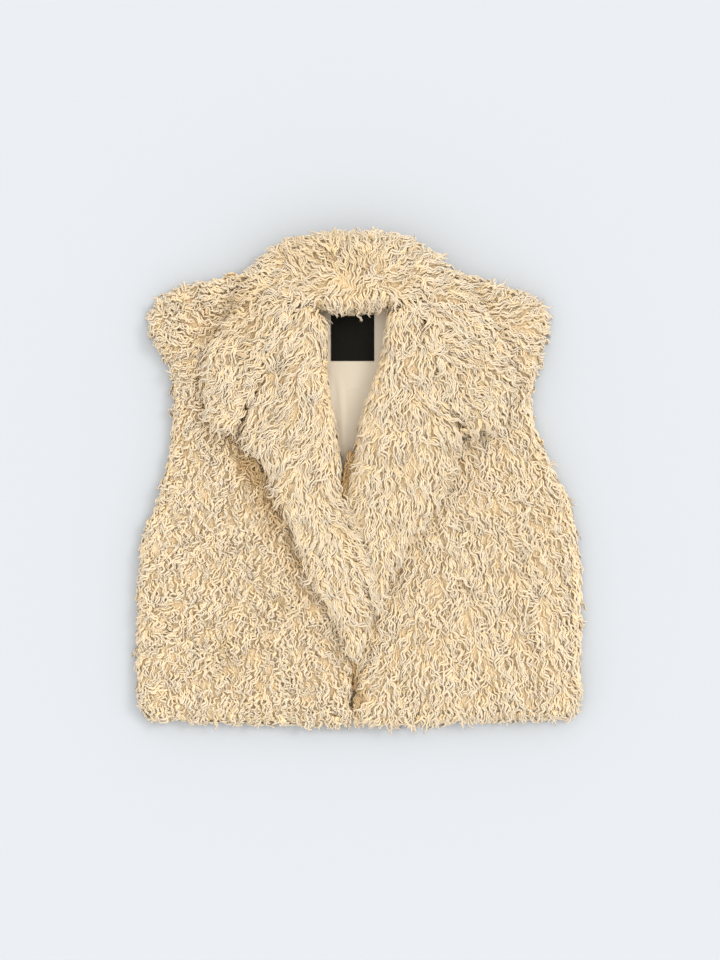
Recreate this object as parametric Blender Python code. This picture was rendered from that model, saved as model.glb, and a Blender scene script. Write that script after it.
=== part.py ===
"""A cropped, sleeveless faux fur vest, laid flat on its back with its two fronts up.

Sizes in the tables are millimetres. X runs across the vest with the wearer's right side at -X,
Y runs from the hem to the collar, and Z runs up from the surface that the vest lies on.
Every piece is a closed wall over a grid of sections: a table gives the two ends of each section,
and two heights, one for its upper face and one for its underside, give the wall.
"""

from collections import namedtuple
from math import cos, hypot, pi, sin, sqrt

import bmesh
import bpy
from mathutils import Matrix

MM = 0.001

# Heights of the layers above the surface, from the floor up
GAP = 0.3
BACK_TOP = 9.0
LINING_THICK = 1.0
FRONT_TOP = 27.0
FALL_TOP = 21.7
FALL_TONGUE = 4.7
LAPEL_THICK = 19.0
COLLAR_THICK = 20.0
NECK_TOP = 44.0
LABEL_THICK = 0.8

LINING_BASE = BACK_TOP + GAP
LINING_TOP = LINING_BASE + LINING_THICK
FRONT_SEAM = BACK_TOP + GAP
FRONT_BASE = LINING_TOP + GAP
LAPEL_BASE = FRONT_TOP + GAP
COLLAR_OVER_FALL = FALL_TOP + GAP
BACK_OVER_FALL = FALL_TONGUE + GAP

# Distance between the grid's points
FRONT_GRID = 15.0
LAPEL_GRID = 13.0
COLLAR_GRID = 14.0
BACK_GRID = 30.0
FALL_GRID = 20.0
LINING_GRID = 22.0
RIM_STEP = 0.3

# How far a layer still carries what lies on it, beyond its own outline
REACH = 1.4
SEAM_SHARE = 0.2

# How far in from the roll line a lapel reaches down to the lining
ROLL_DEPTH = 12.0

LINING_INSET = 16.0
LINING_HALF_WIDTH = 225.0
PLEAT_HEIGHT = 2.4
PLEAT_HALF_WIDTH = 5.5

Section = namedtuple("Section", "outer_x outer_y inner_x inner_y")
Fold = namedtuple("Fold", "outer_x outer_y inner_x inner_y drop")
Band = namedtuple("Band", "outer_x outer_y inner_x inner_y rim thick")
Crease = namedtuple("Crease", "start_x start_y end_x end_y depth width")
Rim = namedtuple("Rim", "outer inner start end")
Point = namedtuple("Point", "x y row across roundness from_inner")

# How wide each border is rounded
BACK_RIM = Rim(12.0, 12.0, 12.0, 10.0)
FRONT_RIM = Rim(22.0, 9.0, 20.0, 16.0)
LAPEL_RIM = Rim(9.0, 11.0, 7.0, 8.0)
COLLAR_RIM = Rim(16.0, 9.0, 8.0, 8.0)
FALL_RIM = Rim(14.0, 6.0, 8.0, 8.0)
THIN_RIM = Rim(1.0, 1.0, 1.0, 1.0)

# Hem to shoulder; the outer end is at the side and armhole, the inner end at the front edge
RIGHT_FRONT = (
    Section(-240, -279, -11, -286),
    Section(-252, -264, -10, -264),
    Section(-256, -232, -9, -232),
    Section(-256, -186, -7, -197),
    Section(-255, -145, -10, -154),
    Section(-252, -111, -14, -111),
    Section(-252, -80, -18, -71),
    Section(-243, -50, -28, -30),
    Section(-230, -22, -41, 10),
    Section(-223, 10, -46, 50),
    Section(-216, 44, -52, 85),
    Section(-213, 85, -57, 119),
    Section(-214, 122, -59, 150),
    Section(-225, 145, -61, 180),
    Section(-239, 163, -64, 202),
    Section(-241, 185, -69, 219),
    Section(-233, 202, -74, 235),
    Section(-213, 218, -79, 249),
)

LEFT_FRONT = (
    Section(246, -276, 2, -286),
    Section(255, -262, 1, -264),
    Section(257, -232, -1, -232),
    Section(257, -186, -2, -197),
    Section(257, -140, -3, -154),
    Section(255, -94, -6, -111),
    Section(250, -53, -8, -71),
    Section(245, -25, -2, -36),
    Section(231, -2, 10, -4),
    Section(216, 27, 18, 33),
    Section(205, 53, 25, 70),
    Section(198, 85, 34, 102),
    Section(201, 108, 43, 134),
    Section(210, 139, 50, 156),
    Section(214, 165, 53, 185),
    Section(217, 185, 58, 211),
    Section(212, 201, 68, 232),
    Section(195, 213, 80, 248),
)

# Neck to tip; the outer end is at the gorge seam and the free edge, the inner end at the roll line.
# Drop is 1 where the roll reaches down to the lining and 0 where it lies on the fronts.
RIGHT_LAPEL = (
    Fold(-68, 201, -38, 185, 1),
    Fold(-82, 181, -36, 164, 1),
    Fold(-98, 150, -37, 145, 1),
    Fold(-110, 120, -37, 123, 1),
    Fold(-121, 94, -34, 98, 1),
    Fold(-131, 69, -29, 74, 1),
    Fold(-135, 45, -25, 48, 1),
    Fold(-111, 18, -21, 19, 1),
    Fold(-92, -25, -19, -21, 0),
    Fold(-76, -59, -10, -55, 0),
    Fold(-63, -94, 2, -86, 0),
    Fold(-47, -128, 11, -117, 0),
    Fold(-32, -154, 14, -146, 0),
    Fold(-19, -181, 10, -177, 0),
    Fold(-9, -205, 1, -204, 0),
)

LEFT_LAPEL = (
    Fold(58, 201, 32, 186, 1),
    Fold(75, 181, 31, 165, 1),
    Fold(90, 151, 27, 145, 1),
    Fold(99, 121, 20, 122, 1),
    Fold(106, 93, 12, 98, 1),
    Fold(113, 68, 5, 74, 1),
    Fold(118, 44, -1, 49, 1),
    Fold(111, 15, -6, 21, 1),
    Fold(98, -18, -11, -10, 0),
    Fold(80, -48, -8, -42, 0),
    Fold(57, -78, 2, -69, 0),
    Fold(40, -105, 11, -96, 0),
    Fold(27, -136, 19, -130, 0),
)

# Right notch to left notch; rim is the height of the outer edge as a share of the thickness
COLLAR = (
    Band(-167, 58, -141, 51, 0.3, COLLAR_THICK),
    Band(-175, 84, -135, 72, 0.3, COLLAR_THICK),
    Band(-180, 114, -124, 96, 0.3, COLLAR_THICK),
    Band(-176, 142, -113, 122, 0.3, COLLAR_THICK),
    Band(-161, 165, -100, 152, 0.3, COLLAR_THICK),
    Band(-146, 189, -85, 184, 0.3, COLLAR_THICK),
    Band(-132, 222, -70, 206, 0.2, COLLAR_THICK),
    Band(-111, 256, -50, 196, 0.1, COLLAR_THICK),
    Band(-79, 274, -32, 193, 0.0, NECK_TOP - COLLAR_OVER_FALL),
    Band(-42, 281, -17, 192, 0.0, NECK_TOP - COLLAR_OVER_FALL),
    Band(-3, 284, -2, 192, 0.0, NECK_TOP - COLLAR_OVER_FALL),
    Band(34, 282, 13, 193, 0.0, NECK_TOP - COLLAR_OVER_FALL),
    Band(66, 272, 28, 195, 0.0, NECK_TOP - COLLAR_OVER_FALL),
    Band(94, 252, 44, 199, 0.1, COLLAR_THICK),
    Band(116, 230, 61, 207, 0.2, COLLAR_THICK),
    Band(137, 202, 78, 184, 0.3, COLLAR_THICK),
    Band(157, 171, 93, 152, 0.3, COLLAR_THICK),
    Band(173, 143, 102, 122, 0.3, COLLAR_THICK),
    Band(177, 113, 109, 94, 0.3, COLLAR_THICK),
    Band(172, 82, 116, 71, 0.3, COLLAR_THICK),
    Band(160, 56, 121, 51, 0.3, COLLAR_THICK),
)

# The same collar behind the neck: the outer end is at the fold, the inner end at the free edge
COLLAR_FALL = (
    Section(-118, 236, -112, 216),
    Section(-104, 252, -90, 198),
    Section(-77, 271, -62, 178),
    Section(-41, 278, -32, 168),
    Section(-3, 281, -2, 165),
    Section(33, 279, 29, 168),
    Section(64, 269, 58, 179),
    Section(90, 249, 83, 197),
    Section(103, 233, 99, 214),
)

# The back's upper edge from the right shoulder tip to the left one
BACK_NECKLINE = ((-213, 218), (-79, 249), (-66, 231), (-44, 213), (-1, 202),
                 (42, 213), (66, 231), (80, 248), (195, 213))
BACK_WIDTH = 480.0
BACK_INSET = 1.0
BACK_HEM_RISE = 3.0

LABEL_LEFT, LABEL_RIGHT = -32.0, 18.0
LABEL_BOTTOM, LABEL_HEAD = 136.0, 191.0

PLEAT_HEAD_X, PLEAT_FOOT_X = -22.0, -13.0
PLEAT_LOW, PLEAT_HIGH = 12.0, 114.0
PLEAT_COLUMNS = (-32, -28, -25, -22, -19, -16, -13, -10, -6, 5, 25)

# The largest folds in the fur
CREASES = (
    Crease(-96, -146, -158, -246, 6.0, 17.0),
    Crease(-116, -158, -150, -182, 3.0, 14.0),
    Crease(126, -124, 166, -188, 5.0, 16.0),
    Crease(176, -150, 182, -162, 4.0, 14.0),
    Crease(-200, 20, -150, -40, 3.5, 18.0),
    Crease(196, 20, 150, -30, 3.5, 18.0),
    Crease(165, 24, 176, -36, 3.0, 16.0),
)
LAPEL_CREASES = (
    Crease(108, 58, 88, -20, 3.5, 14.0),
    Crease(56, 6, 24, -38, 3.0, 14.0),
    Crease(-84, 126, -118, 52, 3.0, 14.0),
    Crease(-60, 20, -84, -20, 2.5, 14.0),
)

FUR_COLOUR = (0.74, 0.66, 0.52, 1.0)
LINING_COLOUR = (0.70, 0.66, 0.58, 1.0)
LABEL_COLOUR = (0.012, 0.012, 0.014, 1.0)


def clear_scene():
    for old in list(bpy.data.objects):
        bpy.data.objects.remove(old, do_unlink=True)


def material(name, colour, roughness):
    finish = bpy.data.materials.new(name)
    finish.use_nodes = True
    shader = finish.node_tree.nodes["Principled BSDF"]
    shader.inputs["Base Color"].default_value = colour
    shader.inputs["Roughness"].default_value = roughness
    shader.inputs["Metallic"].default_value = 0.0
    return finish


def smooth_value(before, first, second, after, share):
    """A Catmull-Rom curve between the two middle values."""
    bend = 2 * before - 5 * first + 4 * second - after
    twist = 3 * first - before - 3 * second + after
    return first + 0.5 * share * (second - before + share * (bend + share * twist))


def steps(length, first_rim, last_rim, spacing):
    """Distances along a length, closer together at its two rounded ends."""
    middle = length - first_rim - last_rim
    count = max(1, round(middle / spacing))
    inside = [first_rim + middle * step / count for step in range(count + 1)]
    return [0.0, RIM_STEP * first_rim] + inside + [length - RIM_STEP * last_rim, length]


def centre(row):
    return (0.5 * (row.outer_x + row.inner_x), 0.5 * (row.outer_y + row.inner_y))


def rows_between(table, rim, spacing):
    """Smooth rows through a table, with each row's roundness from the two end rims."""
    lengths = [0.0]
    for row, following in zip(table, table[1:]):
        here, there = centre(row), centre(following)
        lengths.append(lengths[-1] + hypot(there[0] - here[0], there[1] - here[1]))
    rows = []
    for place in steps(lengths[-1], rim.start, rim.end, spacing):
        index = max(k for k in range(len(table) - 1) if lengths[k] <= place + 1e-9)
        share = (place - lengths[index]) / (lengths[index + 1] - lengths[index])
        before = table[max(index - 1, 0)]
        after = table[min(index + 2, len(table) - 1)]
        columns = zip(before, table[index], table[index + 1], after)
        row = type(table[0])(*(smooth_value(*values, share) for values in columns))
        roundness = min(place / rim.start, (lengths[-1] - place) / rim.end, 1.0)
        rows.append((row, roundness))
    return rows


def dome(share):
    """The height of a quarter ellipse, from 0 at the edge to 1."""
    share = max(0.0, min(1.0, share))
    return sqrt(1.0 - (1.0 - share) ** 2)


def grid_of(table, rim, spacing):
    """A grid of points in plan, with how far each is inside the rounded edges."""
    rows = rows_between(table, rim, spacing)
    widths = [hypot(row.outer_x - row.inner_x, row.outer_y - row.inner_y) for row, _ in rows]
    count = len(steps(max(widths), rim.outer, rim.inner, spacing))
    grid = []
    for (row, along), width in zip(rows, widths):
        outer_rim = min(rim.outer, 0.3 * width)
        inner_rim = min(rim.inner, 0.3 * width)
        middle = width - outer_rim - inner_rim
        places = steps(width, outer_rim, inner_rim, middle / (count - 5))
        line = []
        for place in places:
            share = place / width
            x = row.outer_x + share * (row.inner_x - row.outer_x)
            y = row.outer_y + share * (row.inner_y - row.outer_y)
            across = min(place / outer_rim, (width - place) / inner_rim, 1.0)
            line.append(Point(x, y, row, share, dome(across) * dome(along), width - place))
        grid.append(line)
    return grid


def outline_of(grid):
    """The border of a grid, once round."""
    border = list(grid[0]) + [line[-1] for line in grid[1:]]
    border += list(reversed(grid[-1]))[1:] + [line[0] for line in reversed(grid[1:-1])]
    return [(point.x, point.y) for point in border]


def distance_to_line(x, y, start, end):
    run_x, run_y = end[0] - start[0], end[1] - start[1]
    square = run_x * run_x + run_y * run_y
    share = ((x - start[0]) * run_x + (y - start[1]) * run_y) / square if square else 0.0
    share = max(0.0, min(1.0, share))
    return hypot(x - start[0] - share * run_x, y - start[1] - share * run_y)


def distance_outside(outline, x, y):
    """How far a point is outside an outline, and 0 inside it."""
    inside = False
    nearest = float("inf")
    for start, end in zip(outline, outline[1:] + outline[:1]):
        nearest = min(nearest, distance_to_line(x, y, start, end))
        if (start[1] > y) != (end[1] > y):
            if x < start[0] + (y - start[1]) * (end[0] - start[0]) / (end[1] - start[1]):
                inside = not inside
    return 0.0 if inside else nearest


def wall(name, finish, grid, upper, lower, rim_share, round_over=True, round_under=False):
    """A closed solid between two heights over a grid, joined round its rim."""
    last_row, last_column = len(grid) - 1, len(grid[0]) - 1
    mesh = bmesh.new()
    top, bottom = {}, {}
    for i, line in enumerate(grid):
        for j, point in enumerate(line):
            high, low = upper(point), lower(point)
            rim = low + rim_share(point) * (high - low)
            soft = point.roundness
            sharp = min(1.0, soft / dome(RIM_STEP))
            over = rim + (high - rim) * (soft if round_over else sharp)
            under = rim + (low - rim) * (soft if round_under else sharp)
            edge = i in (0, last_row) or j in (0, last_column)
            if edge:
                over = under = rim
            top[i, j] = mesh.verts.new((point.x * MM, point.y * MM, over * MM))
            place = (point.x * MM, point.y * MM, under * MM)
            bottom[i, j] = top[i, j] if edge else mesh.verts.new(place)
    for side in (top, bottom):
        for i in range(last_row):
            for j in range(last_column):
                corners = (side[i, j], side[i, j + 1], side[i + 1, j + 1], side[i + 1, j])
                near, far = (0, 2) if (i < last_row / 2) == (j < last_column / 2) else (1, 3)
                mesh.faces.new((corners[near], corners[(near + 1) % 4], corners[far]))
                mesh.faces.new((corners[far], corners[(far + 1) % 4], corners[near]))
    bmesh.ops.recalc_face_normals(mesh, faces=mesh.faces)
    data = bpy.data.meshes.new(name)
    mesh.to_mesh(data)
    mesh.free()
    data.materials.append(finish)
    data.shade_smooth()
    piece = bpy.data.objects.new(name, data)
    bpy.context.scene.collection.objects.link(piece)
    return piece


def crease_depth(creases, x, y):
    """How deep the fur is parted at a point."""
    depth = 0.0
    for crease in creases:
        away = distance_to_line(x, y, (crease.start_x, crease.start_y), (crease.end_x, crease.end_y))
        if away < crease.width:
            depth = max(depth, crease.depth * 0.5 * (1 + cos(pi * away / crease.width)))
    return depth


def tufts(x, y):
    """The low swell of the clumped fur."""
    swell = sin(x / 11.0 + 2.1 * sin(y / 31.0)) * cos(y / 13.0 + 1.3 * sin(x / 27.0))
    return 2.2 * swell + 1.1 * sin(x / 7.3 + y / 11.1)


def back_points(inset, columns, rim, spacing):
    """The back's grid: straight rows at the hem, bent to the shoulders and neckline at the top."""
    joined = tuple(Section(right.outer_x + inset, right.outer_y, left.outer_x - inset, left.outer_y)
                   for right, left in zip(RIGHT_FRONT, LEFT_FRONT))
    rows = rows_between(joined, rim, spacing)
    first_x, last_x = BACK_NECKLINE[0][0], BACK_NECKLINE[-1][0]
    grid = []
    for index, (row, along) in enumerate(rows):
        rise = index / (len(rows) - 1)
        bend = rise ** 6
        width = row.inner_x - row.outer_x
        line = []
        for share in columns:
            x = row.outer_x + share * width
            y = row.outer_y + share * (row.inner_y - row.outer_y)
            neck_x = first_x + share * (last_x - first_x)
            straight = BACK_NECKLINE[0][1] + share * (BACK_NECKLINE[-1][1] - BACK_NECKLINE[0][1])
            y += bend * (neckline_y(neck_x) - straight)
            y += BACK_HEM_RISE * (1 - rise) ** 8
            side = min(share * width / rim.outer, (1 - share) * width / rim.inner, 1.0)
            line.append(Point(x, y, row, share, dome(side) * dome(along), (1 - share) * width))
        grid.append(line)
    return grid


def neckline_y(x):
    for start, end in zip(BACK_NECKLINE, BACK_NECKLINE[1:]):
        if x <= end[0]:
            return start[1] + (x - start[0]) * (end[1] - start[1]) / (end[0] - start[0])
    return BACK_NECKLINE[-1][1]


def back_grid():
    places = steps(BACK_WIDTH, BACK_RIM.outer, BACK_RIM.inner, BACK_GRID)
    columns = [place / BACK_WIDTH for place in places]
    return back_points(BACK_INSET, columns, BACK_RIM, BACK_GRID)


def make_back(finish, grid, fall_outline):
    def lower(point):
        near_fall = distance_outside(fall_outline, point.x, point.y) < REACH * BACK_GRID
        return BACK_OVER_FALL if near_fall else 0.0

    return wall("back_panel", finish, grid, lambda point: BACK_TOP, lower, lambda point: 1.0,
                round_over=False, round_under=True)


def make_lining(finish):
    half = LINING_HALF_WIDTH
    sides = (half, half - 0.5, 155, 100, 60, 42)
    places = [-side for side in sides] + list(PLEAT_COLUMNS) + list(reversed(sides))
    columns = [(place + half) / (2 * half) for place in places]
    grid = back_points(LINING_INSET, columns, THIN_RIM, LINING_GRID)

    def pleat(point):
        if not PLEAT_LOW < point.y < PLEAT_HIGH:
            return 0.0
        rise = (point.y - PLEAT_LOW) / (PLEAT_HIGH - PLEAT_LOW)
        line_x = PLEAT_FOOT_X + rise * (PLEAT_HEAD_X - PLEAT_FOOT_X)
        aside = min(1.0, abs(point.x - line_x) / PLEAT_HALF_WIDTH)
        return PLEAT_HEIGHT * sqrt(sin(pi * rise)) * 0.5 * (1 + cos(pi * aside))

    return wall("back_lining", finish, grid, lambda point: LINING_TOP + pleat(point),
                lambda point: LINING_BASE + pleat(point), lambda point: 0.5)


def make_label(finish):
    table = tuple(Section(LABEL_LEFT, y, LABEL_RIGHT, y) for y in (LABEL_BOTTOM, LABEL_HEAD))
    grid = grid_of(table, THIN_RIM, LABEL_RIGHT - LABEL_LEFT)
    base = LINING_TOP + GAP
    return wall("label", finish, grid, lambda point: base + LABEL_THICK, lambda point: base,
                lambda point: 0.5)


def make_front(name, grid, finish, covers):
    def upper(point):
        away = min(distance_outside(outline, point.x, point.y) for outline in covers)
        free = max(0.0, min(1.0, (away - REACH * FRONT_GRID) / FRONT_GRID))
        relief = tufts(point.x, point.y) - crease_depth(CREASES, point.x, point.y)
        return FRONT_TOP + free * relief

    def lower(point):
        return FRONT_SEAM if point.roundness < SEAM_SHARE else FRONT_BASE

    return wall(name, finish, grid, upper, lower, lambda point: 0.3 * point.across ** 4)


def make_lapel(name, grid, finish):
    def upper(point):
        crown = 3.0 * sin(pi * point.across)
        relief = 0.6 * tufts(point.x, point.y) - crease_depth(LAPEL_CREASES, point.x, point.y)
        return LAPEL_BASE + LAPEL_THICK + crown + relief

    def lower(point):
        drop = max(0.0, min(1.0, point.row.drop)) if point.from_inner < ROLL_DEPTH else 0.0
        return LAPEL_BASE - drop * (LAPEL_BASE - FRONT_BASE)

    return wall(name, finish, grid, upper, lower, lambda point: 0.35)


def make_collar(finish, grid, front_outlines, back_outline):
    def lower(point):
        fronts = min(distance_outside(outline, point.x, point.y) for outline in front_outlines)
        if fronts < REACH * COLLAR_GRID:
            return LAPEL_BASE
        back = distance_outside(back_outline, point.x, point.y)
        return FRONT_BASE if back < REACH * COLLAR_GRID else COLLAR_OVER_FALL

    def upper(point):
        crown = 2.5 * sin(pi * point.across)
        return max(NECK_TOP, LAPEL_BASE + point.row.thick) + crown + 0.6 * tufts(point.x, point.y)

    return wall("collar", finish, grid, upper, lower,
                lambda point: max(0.0, point.row.rim) if point.across < 0.5 else 0.35)


def make_fall(finish, grid, back_outline):
    def upper(point):
        back = distance_outside(back_outline, point.x, point.y)
        return FALL_TOP if back > 2 * REACH * COLLAR_GRID else FALL_TONGUE

    return wall("collar_fall", finish, grid, upper, lambda point: 0.0, lambda point: 1.0,
                round_over=False, round_under=True)


def stand_on_origin():
    """Move the vest so that the middle of its box is over the origin."""
    pieces = list(bpy.data.objects)
    corners = [vertex.co for piece in pieces for vertex in piece.data.vertices]
    middle_x = 0.5 * (min(place.x for place in corners) + max(place.x for place in corners))
    middle_y = 0.5 * (min(place.y for place in corners) + max(place.y for place in corners))
    for piece in pieces:
        piece.data.transform(Matrix.Translation((-middle_x, -middle_y, 0.0)))


def build_vest():
    fur = material("fur", FUR_COLOUR, 0.85)
    satin = material("lining", LINING_COLOUR, 0.55)
    woven = material("label", LABEL_COLOUR, 0.7)

    back = back_grid()
    fronts = [grid_of(table, FRONT_RIM, FRONT_GRID) for table in (RIGHT_FRONT, LEFT_FRONT)]
    lapels = [grid_of(table, LAPEL_RIM, LAPEL_GRID) for table in (RIGHT_LAPEL, LEFT_LAPEL)]
    collar = grid_of(COLLAR, COLLAR_RIM, COLLAR_GRID)
    fall = grid_of(COLLAR_FALL, FALL_RIM, FALL_GRID)
    covers = [outline_of(grid) for grid in (collar, *lapels)]

    make_back(fur, back, outline_of(fall))
    make_lining(satin)
    make_label(woven)
    for side, front, lapel in zip(("right", "left"), fronts, lapels):
        make_front(side + "_front", front, fur, covers)
        make_lapel(side + "_lapel", lapel, fur)
    make_collar(fur, collar, [outline_of(front) for front in fronts], outline_of(back))
    make_fall(fur, fall, outline_of(back))
    stand_on_origin()


clear_scene()
build_vest()
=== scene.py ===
# %% [markdown]
# # A faux fur vest, laid flat
# The vest lies on its back with its two fronts up. Its wide collar and its lapels are turned out, and
# the cream lining with a black label shows between them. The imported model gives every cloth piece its
# place and its size. This notebook gives each piece its backing cloth, its curls and its finish.

# %% Load the fixed frame
from itertools import product
from math import ceil, pi

import bmesh
import bpy
import numpy as np
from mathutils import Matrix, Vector
from mathutils.bvhtree import BVHTree


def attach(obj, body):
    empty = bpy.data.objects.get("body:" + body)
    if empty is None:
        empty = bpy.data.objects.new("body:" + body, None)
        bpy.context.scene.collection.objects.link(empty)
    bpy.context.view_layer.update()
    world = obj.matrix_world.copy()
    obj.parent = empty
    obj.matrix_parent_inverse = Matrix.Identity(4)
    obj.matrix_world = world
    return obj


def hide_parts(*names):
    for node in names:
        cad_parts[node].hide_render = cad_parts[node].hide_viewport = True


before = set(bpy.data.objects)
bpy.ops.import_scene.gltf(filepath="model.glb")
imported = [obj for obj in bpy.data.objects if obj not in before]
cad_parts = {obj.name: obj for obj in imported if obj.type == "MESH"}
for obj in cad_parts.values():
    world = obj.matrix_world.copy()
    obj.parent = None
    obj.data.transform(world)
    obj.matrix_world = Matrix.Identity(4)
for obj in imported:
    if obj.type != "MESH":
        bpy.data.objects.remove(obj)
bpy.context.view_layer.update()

MM = 0.001
scene = bpy.context.scene
scene.view_settings.view_transform = "Standard"
print("pieces in the frame:", sorted(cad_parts))

# %% [markdown]
# ## The camera
# The photograph looks straight down at the vest, as a flat-lay does. A long lens keeps the pile at the
# edges from leaning outwards. The distance follows from how much of the table the frame takes in.

# %% Camera above the vest
PHOTO_HEIGHT = 960
MM_PER_PIXEL = 1.15
LENS, SENSOR = 85.0, 36.0
AIM_X, AIM_Y, AIM_Z = 1.2 * MM, -0.7 * MM, 28.0 * MM

frame_height = PHOTO_HEIGHT * MM_PER_PIXEL * MM
camera_data = bpy.data.cameras.new("camera")
camera_data.lens = LENS
camera_data.sensor_width = SENSOR
camera = bpy.data.objects.new("camera", camera_data)
scene.collection.objects.link(camera)
camera.location = (AIM_X, AIM_Y, AIM_Z + frame_height * LENS / SENSOR)
scene.camera = camera
print("camera height:", round(camera.location.z, 3))

# %% [markdown]
# ## Table and light
# The photograph is a cut-out on a pale blue-white ground with hardly any shadow. A wide, matt floor
# and a bright, even world give that. One soft sun from the wearer's left, past the collar, lets each
# lapel throw a short shadow towards the hem and the wearer's right.

# %% Floor
FLOOR_COLOUR = (0.499, 0.519, 0.540, 1.0)
FLOOR_SIZE = 12.0

bpy.ops.mesh.primitive_plane_add(size=FLOOR_SIZE, location=(0, 0, 0))
floor = bpy.context.object
floor.name = "floor"
floor_paint = bpy.data.materials.new("floor_paint")
floor_paint.use_nodes = True
floor_shader = floor_paint.node_tree.nodes["Principled BSDF"]
floor_shader.inputs["Base Color"].default_value = FLOOR_COLOUR
floor_shader.inputs["Roughness"].default_value = 0.9
floor.data.materials.append(floor_paint)

# %% Lamps and world
WORLD_STRENGTH = 1.41
KEY_STRENGTH, KEY_SPREAD = 1.00, 0.30
KEY_DIRECTION = (-0.58, -0.32, -0.75)
LAMP_DISTANCE = 2.0


def soft_sun(name, direction, strength, spread):
    lamp_data = bpy.data.lights.new(name, "SUN")
    lamp_data.energy = strength
    lamp_data.angle = spread
    lamp = bpy.data.objects.new(name, lamp_data)
    scene.collection.objects.link(lamp)
    lamp.location = -LAMP_DISTANCE * Vector(direction)
    lamp.rotation_euler = Vector(direction).to_track_quat("-Z", "Y").to_euler()
    print(name, "shines along", direction)


soft_sun("key_lamp", KEY_DIRECTION, KEY_STRENGTH, KEY_SPREAD)

world = bpy.data.worlds.new("studio")
world.use_nodes = True
world.node_tree.nodes["Background"].inputs["Color"].default_value = (1.0, 1.0, 1.0, 1.0)
world.node_tree.nodes["Background"].inputs["Strength"].default_value = WORLD_STRENGTH
scene.world = world

# %% [markdown]
# ## Writing shaders as sums
# A node tree is easier to read as an expression. This small class wraps a socket, so that `1 - mask`
# or `mask * 0.3` adds the Math node that it needs. Any other node comes from one method.

# %% A socket that can be added and multiplied
class Socket:
    def __init__(self, tree, link):
        self.tree = tree
        self.link = link

    def node(self, kind, inputs, output=0, **settings):
        made = self.tree.nodes.new(kind)
        for name, value in settings.items():
            setattr(made, name, value)
        for name, value in inputs.items():
            if isinstance(value, Socket):
                self.tree.links.new(value.link, made.inputs[name])
            else:
                made.inputs[name].default_value = value
        return Socket(self.tree, made.outputs[output])

    def math(self, operation, first, second=0.0):
        return self.node("ShaderNodeMath", {0: first, 1: second}, operation=operation)

    def __add__(self, other):
        return self.math("ADD", self, other)

    def __sub__(self, other):
        return self.math("SUBTRACT", self, other)

    def __mul__(self, other):
        return self.math("MULTIPLY", self, other)

    def __rsub__(self, other):
        return self.math("SUBTRACT", other, self)

    __radd__ = __add__
    __rmul__ = __mul__

    def power(self, exponent):
        return self.math("POWER", self, exponent)

    def within(self, low, high):
        return self.node("ShaderNodeMapRange", {0: self, 1: low, 2: high, 3: 0.0, 4: 1.0})

    def mix(self, first, second):
        """A colour between two, with this socket as the share of the second."""
        inputs = {"Factor": self, "A": first, "B": second}
        made = self.tree.nodes.new("ShaderNodeMix")
        made.data_type = "RGBA"
        for name, value in inputs.items():
            socket = [s for s in made.inputs if s.name == name and s.enabled][0]
            if isinstance(value, Socket):
                self.tree.links.new(value.link, socket)
            else:
                socket.default_value = value
        return Socket(self.tree, [s for s in made.outputs if s.enabled][0])


def new_finish(name, roughness):
    """A material, its shader and a socket of the piece's own object coordinates."""
    finish = bpy.data.materials.new(name)
    finish.use_nodes = True
    tree = finish.node_tree
    shader = tree.nodes["Principled BSDF"]
    shader.inputs["Roughness"].default_value = roughness
    place = Socket(tree, tree.nodes.new("ShaderNodeTexCoord").outputs["Object"])
    return finish, shader, place


def feed(shader, name, socket):
    socket.tree.links.new(socket.link, shader.inputs[name])


# %% [markdown]
# ## Fur finish
# Each curl is warm at its root and more muted at its tip. The root is painted in the stronger colour as
# painted shade, because little light gets down to it, while the tip stands in full light. Every curl
# carries its own tone across its UV map and its length along it, so one finish serves thousands of
# curls. A low tone is partly the curl's own and partly painted shade. Fine streaks across the map read
# as single fibres. Fur like this has no gloss, and some light passes through it.

# %% Colours of the pile
FUR_MAP = "OFBake"
# The root's stronger, warmer colour is painted shade, where little light gets down among the curls
ROOT_COLOUR = (0.88, 0.66, 0.375, 1.0)
MIDDLE_COLOUR = (0.765, 0.640, 0.465, 1.0)
TIP_COLOUR = (0.675, 0.588, 0.475, 1.0)
# Colour that a curl darkens towards: its own darker tone and fibre streaks, and its painted shade
TONE_AND_PAINTED_SHADE = (0.73, 0.555, 0.335, 1.0)
GROOVE_PAINTED_SHADE = (0.50, 0.33, 0.155, 1.0)
# Tones from GROOVE_TONE to 1 are curls in the open, and lower ones take the painted shade of a groove
GROOVE_TONE, DEEPEST_TONE = 0.34, 0.03

# %% Finish of the curls
ROOT_END, TIP_START = 0.55, 0.45
TONE_CURVE, TONE_SHARE, STREAK_SHARE = 2.2, 0.55, 0.25
STREAKS = (260.0, 2.5, 1.0)
FIBRE_ROUGHNESS, ROUGHNESS_DROP = 0.70, 0.16
FIBRE_BUMP = 0.4 * MM
LIGHT_THROUGH, LIGHT_REACH = 0.4, 1.2 * MM
LIGHT_REACH_BY_COLOUR = (0.85, 0.92, 1.0)


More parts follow.
